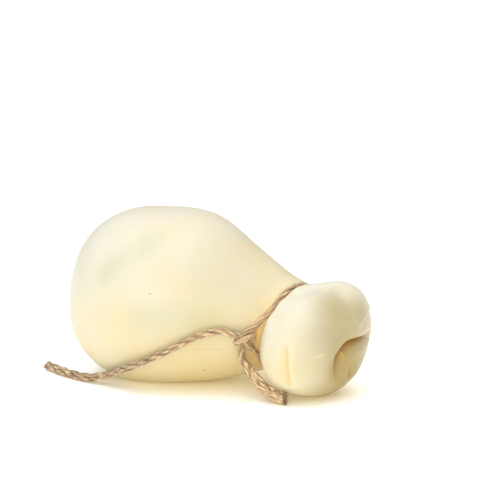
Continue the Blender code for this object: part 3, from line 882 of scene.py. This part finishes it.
# %% The cheese in one skin
def cheese_faces():
    """Faces round the base's pole, between the rings, and across the slit."""
    faces = [(0, 1 + (j + 1) % SEGMENTS, 1 + j) for j in range(SEGMENTS)]
    faces += joined(len(rows) - 1, SEGMENTS, 1)
    last = (len(rows) - 2) * SEGMENTS + 1
    for j in range(SEGMENTS // 2):
        over = last + (SEGMENTS - j - 1) % SEGMENTS, last + (SEGMENTS - j) % SEGMENTS
        faces.append(tuple(dict.fromkeys((last + j, last + j + 1, *over))))
    return faces


def with_pole(values):
    """One value for the base's pole, where the first ring meets, and then one for each point."""
    return np.concatenate([values[0].mean(axis=0)[None], values[1:].reshape(-1, *values.shape[2:])])


per_point = {"grain": with_pole(grain), **{name: with_pole(tint) for name, tint in tints.items()}}
cheese = piece("cheese_skin", with_pole(rows), cheese_faces(), per_point, stretched_curd())
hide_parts("cheese")

# %% [markdown]
# ## Jute twine
#
# Jute twine is spun from the long flat fibres of a plant's stem. Three yarns are laid round each
# other, one turn in 19 mm, so a yarn crosses the front every 6 mm or so and leaves a dark furrow
# beside it. The fibres inside a yarn are spun the other way, and end up nearly in line with the
# twine. A single closed tube is lofted along the line, and its section is the outline of three
# overlapping rounds that turn as they go: no faces are hidden inside it, as three separate tubes
# would have. Towards the short tail's end the yarns open and flatten into one loose bundle. Loose
# fibre ends stand off the twine as thin tapered hairs.

# %% Width of the twine
WIDTHS = {"free_end": 3.8, "on_floor": 3.1, "on_belly": 2.5, "knot": 2.6, "loop": 2.0, "bent_down": 4.2,
          "frayed_end": 5.0}
FLOOR_PART, BELLY_PART = 0.3, 0.7
INTO_LOOP = 12
OUT_OF_LOOP = 8


def carried_frames(points):
    """Directions along a line and two across it, carried along without turning."""
    along = unit(np.gradient(points, axis=0))
    across = [unit(np.cross(along[0], (0, 0, 1.0)))]
    for way in along[1:]:
        across.append(unit(across[-1] - (across[-1] @ way) * way))
    across = np.array(across)
    return along, across, np.cross(along, across)


def twine_widths():
    """The twine's width at each of its points: thick tails, thinner where it is pulled tight."""
    into, out, end = leg_starts[0], leg_starts[3], twine_at[-1]
    stops = (0, FLOOR_PART * into, BELLY_PART * into, into, into + INTO_LOOP, out - OUT_OF_LOOP, out,
             (out + end) / 2, end)
    along = "free_end", "on_floor", "on_belly", "knot", "loop", "loop", "knot", "bent_down", "frayed_end"
    return np.interp(twine_at, stops, [WIDTHS[k] for k in along])


twine_along, twine_across, twine_up = carried_frames(twine_line)
print("the twine is", min(WIDTHS.values()), "to", max(WIDTHS.values()), "mm wide")

# %% Section of the twine
YARNS = 3
LAY = 19.0
YARN_OFFSET = 0.38  # shares of half the width, from here to RIDGE_HEIGHT
YARN_RADIUS = 0.64
FURROW_DEPTH = 0.35
FLAT_YARNS = 0.93
RIDGE_HEIGHT = 0.07
YARN_SWELL = 0.07  # a share of the yarn's own radius
SWELL_RUN = (3, 5)
YARN_LEAN = 0.12  # in radians round the twine
LEAN_RUN = (5, 9)
PHASES = (0, 6)
FIBRE_RIDGES = (5, 8, 13, 19)  # how many go round the twine, in four layers
RIDGE_SHARES = (0.6, 1)
RIDGE_DRIFT = 0.16
DRIFT_COUNT = 8
FULLNESS = 1.06
TWINE_SIDES = 48
OPENED = 0.7
OPEN_LENGTH = 22.0


def twine_section(at, width, opened, rng):
    """Distance of the surface from the centre round each point, and how deep it is in a furrow."""
    angle = np.linspace(0, 2 * np.pi, TWINE_SIDES, endpoint=False)[None]
    far = np.zeros((len(at), TWINE_SIDES))
    for k in range(YARNS):
        swell = 1 + YARN_SWELL * np.sin(at / rng.uniform(*SWELL_RUN) + rng.uniform(*PHASES))
        lean = YARN_LEAN * np.sin(at / rng.uniform(*LEAN_RUN) + rng.uniform(*PHASES))
        from_yarn = angle - (2 * np.pi * (at / LAY + k / YARNS) + lean)[:, None]
        yarn = (YARN_RADIUS * swell)[:, None]
        inside = yarn**2 - (YARN_OFFSET * np.sin(from_yarn)) ** 2
        edge = YARN_OFFSET * np.cos(from_yarn) + np.sqrt(np.maximum(inside, 0))
        far = np.maximum(far, np.where(inside > 0, edge, 0))
    furrowed = np.clip((YARN_OFFSET + YARN_RADIUS - far) / FURROW_DEPTH, 0, 1) * (1 - opened)
    far = far * (1 - opened) + FLAT_YARNS * opened
    for count in FIBRE_RIDGES:
        drift = np.cumsum(rng.normal(0, RIDGE_DRIFT, len(at)))[:, None]
        ridges = np.sin(count * angle + drift * count / DRIFT_COUNT)
        far = far + RIDGE_HEIGHT * rng.uniform(*RIDGE_SHARES) * ridges
    return far * FULLNESS * width[:, None] / 2, furrowed


twine_random = np.random.default_rng(7)
opened = (OPENED * smooth(1 - (twine_at[-1] - twine_at) / OPEN_LENGTH))[:, None]
twine_far, twine_furrow = twine_section(twine_at, twine_widths(), opened, twine_random)
ring_angle = np.linspace(0, 2 * np.pi, TWINE_SIDES, endpoint=False)
ring_ways = (np.cos(ring_angle)[None, :, None] * twine_across[:, None]
             + np.sin(ring_angle)[None, :, None] * twine_up[:, None])
print("twine rings:", len(twine_at), "widest", round(float(twine_far.max() * 2), 2), "mm")

# %% [markdown]
# ## Hairs and cut ends
#
# A hair leaves the twine at a flat angle and bends away, so it is five points on a curve with a
# triangle round each. The cut ends are uneven, because scissors crush jute before they cut it: the
# fibres splay, some stay longer, and the short tail's end was cut at a slant. Blender's own hair
# would be quicker to grow, but here each hair has to be a part of the twine's mesh.

# %% Hairs
HAIR_POINTS = 5
HAIR_CORNERS = 3
HAIR_TAPER = 0.8
HAIR_BEND = 0.5


def hairs(starts, ways, bends, lengths, radii):
    """Thin tapered hairs as points and faces: each starts somewhere, goes a way and bends."""
    t = np.linspace(0, 1, HAIR_POINTS)[None, :, None]
    bent = t * ways[:, None] + HAIR_BEND * t * t * bends[:, None]
    line = starts[:, None] + lengths[:, None, None] * bent
    side = unit(np.cross(ways, bends + 1e-3))
    other = unit(np.cross(ways, side))
    corner = np.arange(HAIR_CORNERS) * 2 * np.pi / HAIR_CORNERS
    round_it = np.cos(corner)[:, None] * side[:, None] + np.sin(corner)[:, None] * other[:, None]
    thin = (radii[:, None] * (1 - HAIR_TAPER * t[..., 0]))[..., None, None]
    points = line[:, :, None] + thin * round_it[:, None]
    faces = []
    for k in range(len(starts)):
        first = k * HAIR_POINTS * HAIR_CORNERS
        tip = first + (HAIR_POINTS - 1) * HAIR_CORNERS
        faces += joined(HAIR_POINTS, HAIR_CORNERS, first)
        faces += [(first + 2, first + 1, first), (tip, tip + 1, tip + 2)]
    return points.reshape(-1, 3), faces


print("a hair is", HAIR_POINTS * HAIR_CORNERS, "points")

# %% Fuzz and frayed ends
HAIRS_PER_MM = 1.6
HAIR_RADIUS = 0.045
HAIR_ROOT = 0.05
HAIR_LIFT = (0.1, 0.6)
HAIR_CURL = (-0.2, 0.6)
HAIR_STRAY = 0.3
HAIR_LENGTHS = (0.8, 2.2)
END_PARTS = (0.05, 0.95)
END_ROOT = 0.6
END_CURL = (-0.1, 0.5)
END_STRAYS = (0.12, 0.15)
END_LENGTHS = (0.9, 1.8)
END_RADII = (0.08, 0.2)


def fuzz(begin, stop, rng):
    """Loose fibre ends all along a stretch of the twine."""
    count = int((stop - begin) * TWINE_STEP * HAIRS_PER_MM)
    row = rng.integers(begin, stop, count)
    column = rng.integers(0, TWINE_SIDES, count)
    out = ring_ways[row, column]
    starts = twine_line[row] + out * (twine_far[row, column] - HAIR_ROOT)[:, None]
    sense = rng.choice((-1, 1), count)[:, None]
    ways = unit(sense * twine_along[row] + rng.uniform(*HAIR_LIFT, count)[:, None] * out)
    bends = out * rng.uniform(*HAIR_CURL, count)[:, None] + rng.normal(0, HAIR_STRAY, (count, 3))
    return hairs(starts, ways, bends, rng.uniform(*HAIR_LENGTHS, count), np.full(count, HAIR_RADIUS))


def splayed(row, sense, count, spread, rng):
    """The fibres of a cut end, which is at a row of the twine and looks along it or back."""
    column = rng.integers(0, TWINE_SIDES, count)
    part = np.sqrt(rng.uniform(*END_PARTS, count))
    out = ring_ways[row, column]
    way = sense * twine_along[row]
    starts = twine_line[row] + out * (part * twine_far[row, column])[:, None] - END_ROOT * way
    ways = unit(way + spread * part[:, None] * out + rng.normal(0, END_STRAYS[0], (count, 3)))
    bends = out * rng.uniform(*END_CURL, count)[:, None] + rng.normal(0, END_STRAYS[1], (count, 3))
    return hairs(starts, ways, bends, rng.uniform(*END_LENGTHS, count), rng.uniform(*END_RADII, count))


print("hairs:", HAIRS_PER_MM, "to a millimetre, up to", HAIR_LENGTHS[1], "mm long")

# %% [markdown]
# ## Sackcloth brown: the finish of jute
#
# Raw jute is a straw-coloured fibre that browns with light and age. It is quite matt, and single
# fibres catch the light, so it gets a high roughness and a little sheen, and the index of refraction
# of plant fibre. Real fibres are about 0.1 mm wide, which is too fine to show here, so the streaks
# are drawn as bundles 0.35 mm wide and 3 mm long, in straw, tan and bark brown. The furrows between
# the yarns, and the insides of the cut ends, are darkened towards bark brown as painted shade, and
# from the knot on, the twine is a little more golden.

# %% Jute
STRAW = "#e8cda8"
TAN = "#9c7b5a"
BARK = "#38230f"
GOLDEN_STRAW = "#fad5a0"
GOLDEN_FROM = (70.0, 105.0)
GOLDEN_SHARE = 0.2
BUNDLE = (0.35, 0.35, 3.0)  # across the twine, and along it
BUNDLE_RELIEF = 0.25
STREAKS = (0.36, 0.64)
TAN_AT = 0.4
FURROW_SHADE = (0.15, 0.75)
BUNDLE_ROUGHNESS = 0.65
JUTE_DULLNESS = 0.85
PLANT_IOR = 1.5
SHEEN = (0.25, 0.5)  # how much, and how rough


def raw_jute():
    """The material of the twine."""
    surface = bpy.data.materials.new("raw_jute")
    tree = empty_tree(surface)
    fibre = node(tree, "Attribute", attribute_name="fibre").outputs["Vector"]
    deep = node(tree, "Attribute", attribute_name="furrow").outputs["Fac"]
    scale = tuple(1 / length for length in BUNDLE)
    bundled = node(tree, "VectorMath", {0: fibre, 1: scale}, operation="MULTIPLY").outputs[0]
    look = {"Vector": bundled, "Scale": 1.0, "Detail": 3.0, "Roughness": BUNDLE_ROUGHNESS}
    streak = node(tree, "TexNoise", look).outputs["Fac"]
    ends = {"From Min": STREAKS[0], "From Max": STREAKS[1]}
    spread = node(tree, "MapRange", {"Value": streak, **ends}).outputs[0]
    colour = node(tree, "ValToRGB", {"Fac": spread})
    ramp = colour.color_ramp
    ramp.elements[0].color = linear(BARK)
    ramp.elements[1].color = linear(STRAW)
    ramp.elements.new(TAN_AT).color = linear(TAN)
    along = node(tree, "SeparateXYZ", {"Vector": fibre}).outputs["Z"]
    ends = {"From Min": GOLDEN_FROM[0], "From Max": GOLDEN_FROM[1], "To Max": GOLDEN_SHARE}
    more_golden = node(tree, "MapRange", {"Value": along, **ends}).outputs[0]
    # Painted shade: the deeper in a furrow between yarns, or inside a cut end, the more bark brown.
    ends = {"From Min": FURROW_SHADE[0], "To Max": FURROW_SHADE[1]}
    shade = node(tree, "MapRange", {"Value": deep, **ends}).outputs[0]
    base = colour.outputs[0]
    for much, tone in ((more_golden, GOLDEN_STRAW), (shade, BARK)):
        base = node(tree, "Mix", {0: much, 6: base, 7: linear(tone)}, data_type="RGBA").outputs[2]
    form = {"Height": streak, "Strength": 1.0, "Distance": BUNDLE_RELIEF * MM}
    relief = node(tree, "Bump", form).outputs[0]
    jute = node(tree, "BsdfPrincipled", {
        "Base Color": base, "Roughness": JUTE_DULLNESS, "Normal": relief, "IOR": PLANT_IOR,
        "Sheen Weight": SHEEN[0], "Sheen Roughness": SHEEN[1],
    })
    node(tree, "OutputMaterial", {"Surface": jute.outputs[0]})
    print("raw jute:", len(tree.nodes), "nodes")
    return surface


JUTE = raw_jute()

# %% [markdown]
# ## The tie and the two tails
#
# The twine is cut where the tails leave the knot, because the tails are free cords. All three pieces
# use the same rings, so the cut doesn't show.

# %% A stretch of twine
CUT_JITTER = 0.35
CUT_REACH = 3
CUT_TURN = 1.2


def twine_rings(begin, stop, ends, rng):
    """The rings from one row to another, uneven at the cut ends, and the loose fibres on them."""
    span = slice(begin, stop + 1)
    rings = twine_line[span, None] + twine_far[span, :, None] * ring_ways[span]
    shift = np.zeros(rings.shape[:2])
    loose = [fuzz(begin, stop, rng)]
    for row, sense, slant, count, spread in ends:
        close = smooth(1 - np.abs(np.arange(begin, stop + 1) - row) * TWINE_STEP / CUT_REACH)[:, None]
        uneven = slant * np.cos(ring_angle - CUT_TURN) + rng.normal(0, CUT_JITTER, TWINE_SIDES)
        shift += close**2 * uneven * sense
        loose.append(splayed(row, sense, count, spread, rng))
    return rings + shift[..., None] * twine_along[span, None], loose


print("a cut end is uneven by about", CUT_JITTER, "mm")

# %% Closing a cut end
CUT_HOLLOW = 0.5
END_SHARES = (0.75, 0.4, 0.08)  # rings that close a cut end, as shares of its last ring
# How dark the painted shade is on these rings inside a cut end.
END_SHADES = (0.3, 0.5, 0.7)


def closed_ends(rings, begin, stop, ends):
    """Adds small rings inside each cut end. Also how dark they all are, and how many come first."""
    rings, deep, lead = list(rings), list(twine_furrow[begin:stop + 1]), 0
    for row, sense, *_ in ends:
        ring = rings[0] if row == begin else rings[-1]
        middle = ring.mean(axis=0) - CUT_HOLLOW * sense * twine_along[row]
        closing = [middle + (ring - middle) * share for share in END_SHARES]
        shades = [np.full(TWINE_SIDES, share) for share in END_SHADES]
        if row == begin:
            rings, deep, lead = closing[::-1] + rings, shades[::-1] + deep, len(closing)
        else:
            rings, deep = rings + closing, deep + shades
    return rings, np.concatenate(deep), lead


print("a cut end is closed by", len(END_SHARES), "rings")

# %% One piece of twine
ROUND_FIBRES = 1.6
HAIR_SHADES = 40
OFF_TABLE = 0.02


def twine_piece(name, begin, stop, ends=(), rng=twine_random):
    """The twine from one row to another. ends says which rows are cut ends that show, each with
    the way it looks, its slant, how many fibres splay from it and how far."""
    rings, loose = twine_rings(begin, stop, ends, rng)
    rings, deep, lead = closed_ends(rings, begin, stop, ends)
    points, faces = np.vstack(rings), joined(len(rings), TWINE_SIDES)
    faces += [tuple(range(TWINE_SIDES))[::-1], tuple(range(len(points) - TWINE_SIDES, len(points)))]
    at = twine_at[begin] + (np.arange(len(rings)) - lead) * TWINE_STEP
    wide = ROUND_FIBRES * np.stack([np.cos(ring_angle), np.sin(ring_angle)], -1)
    fibre = np.column_stack([np.tile(wide, (len(rings), 1)), np.repeat(at, TWINE_SIDES)])
    size = HAIR_POINTS * HAIR_CORNERS
    for more, more_faces in loose:
        faces += [tuple(len(points) + k for k in face) for face in more_faces]
        own = rng.uniform(0, HAIR_SHADES, (len(more) // size, 3))
        fibre = np.vstack([fibre, np.repeat(own, size, axis=0)])
        deep = np.r_[deep, np.zeros(len(more))]
        points = np.vstack([points, more])
    points[:, 2] = np.maximum(points[:, 2], OFF_TABLE)
    return piece(name, points, faces, {"fibre": fibre, "furrow": deep}, JUTE)


print("a loose fibre takes its shade from", HAIR_SHADES, "mm of streaks")

# %% Twine pieces
tie = twine_piece("twine_loop_and_knot", knot_in, knot_out)
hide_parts("twine_tie")

long_tail = twine_piece("long_tail", 0, knot_in, ends=[(0, -1, 0.5, 60, 0.35)])
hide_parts("twine_tail_long")

last_row = len(twine_at) - 1
short_tail = twine_piece("short_tail", knot_out, last_row, ends=[(last_row, 1, 1.1, 110, 0.5)])
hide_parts("twine_tail_short")

# %% [markdown]
# ## Table and light
#
# The table is matt white paper that reaches past the picture. It glows a very little in a warm
# yellow: a painted glow, standing in for the light the cheese sends back onto it, which also warms
# the cheese's underside and the shade under it. The light could come from lamps, but a big bright
# room is softer, so the world itself is the light: four wide windows that fade out into the dark. A
# warm one stands almost behind the camera, a cool weak one to the upper left, a white one overhead,
# and a faint one to the right and behind keeps the far edge light.

# %% Table
PAPER = "#ffffff"
# The paper's warm glow is painted light, in place of light the cheese sends back.
PAPER_GLOW = 0.15
GLOW_COLOUR = "#ffe39a"
TABLE_SIZE = 12

bpy.ops.mesh.primitive_plane_add(size=TABLE_SIZE, location=(0, 0, 0))
table = bpy.context.object
table.name = "table"
paper = bpy.data.materials.new("white_paper")
tree = empty_tree(paper)
matt_white = node(tree, "BsdfDiffuse", {"Color": linear(PAPER)})
glow = node(tree, "Emission", {"Color": linear(GLOW_COLOUR), "Strength": PAPER_GLOW})
lit = node(tree, "AddShader", {0: matt_white.outputs[0], 1: glow.outputs[0]})
node(tree, "OutputMaterial", {"Surface": lit.outputs[0]})
table.data.materials.append(paper)
print("table:", TABLE_SIZE, "m of white paper")

# %% Light
WINDOWS = (  # degrees to the left of the camera and up, how narrow, brightness, colour
    (14, 3, 10, 6.95, "#fff9dc"),
    (60, 60, 8, 2.2, "#c2d8ff"),
    (0, 90, 4, 2.45, "#fdfdfd"),
    (-140, 35, 3, 0.75, "#fff6ea"),
)


def facing(left, up):
    """A level direction to the left of the camera, raised by an angle."""
    left, up = np.radians(left), np.radians(up)
    upright = np.array([0, 0, 1.0])
    level = np.cos(left) * np.cross(to_right, upright) - np.sin(left) * to_right
    return np.cos(up) * level + np.sin(up) * upright


room = bpy.data.worlds.new("white_room")
tree = empty_tree(room)
way = node(tree, "TexCoord").outputs["Generated"]
light = None
for left, up, narrow, bright, shade in WINDOWS:
    ways = {0: way, 1: facing(left, up)}
    near = node(tree, "VectorMath", ways, operation="DOT_PRODUCT").outputs["Value"]
    shown = node(tree, "Math", {0: near, 1: 0.0}, operation="MAXIMUM").outputs[0]
    fading = node(tree, "Math", {0: shown, 1: narrow}, operation="POWER").outputs[0]
    colour = [bright * c for c in linear(shade)[:3]]
    window = node(tree, "VectorMath", {0: colour, 3: fading}, operation="SCALE").outputs[0]
    both = {0: light, 1: window}
    light = node(tree, "VectorMath", both, operation="ADD").outputs[0] if light else window
walls = node(tree, "Background", {"Color": light, "Strength": 1.0})
node(tree, "OutputWorld", {"Surface": walls.outputs[0]})
bpy.context.scene.world = room
print("windows of light:", len(WINDOWS))
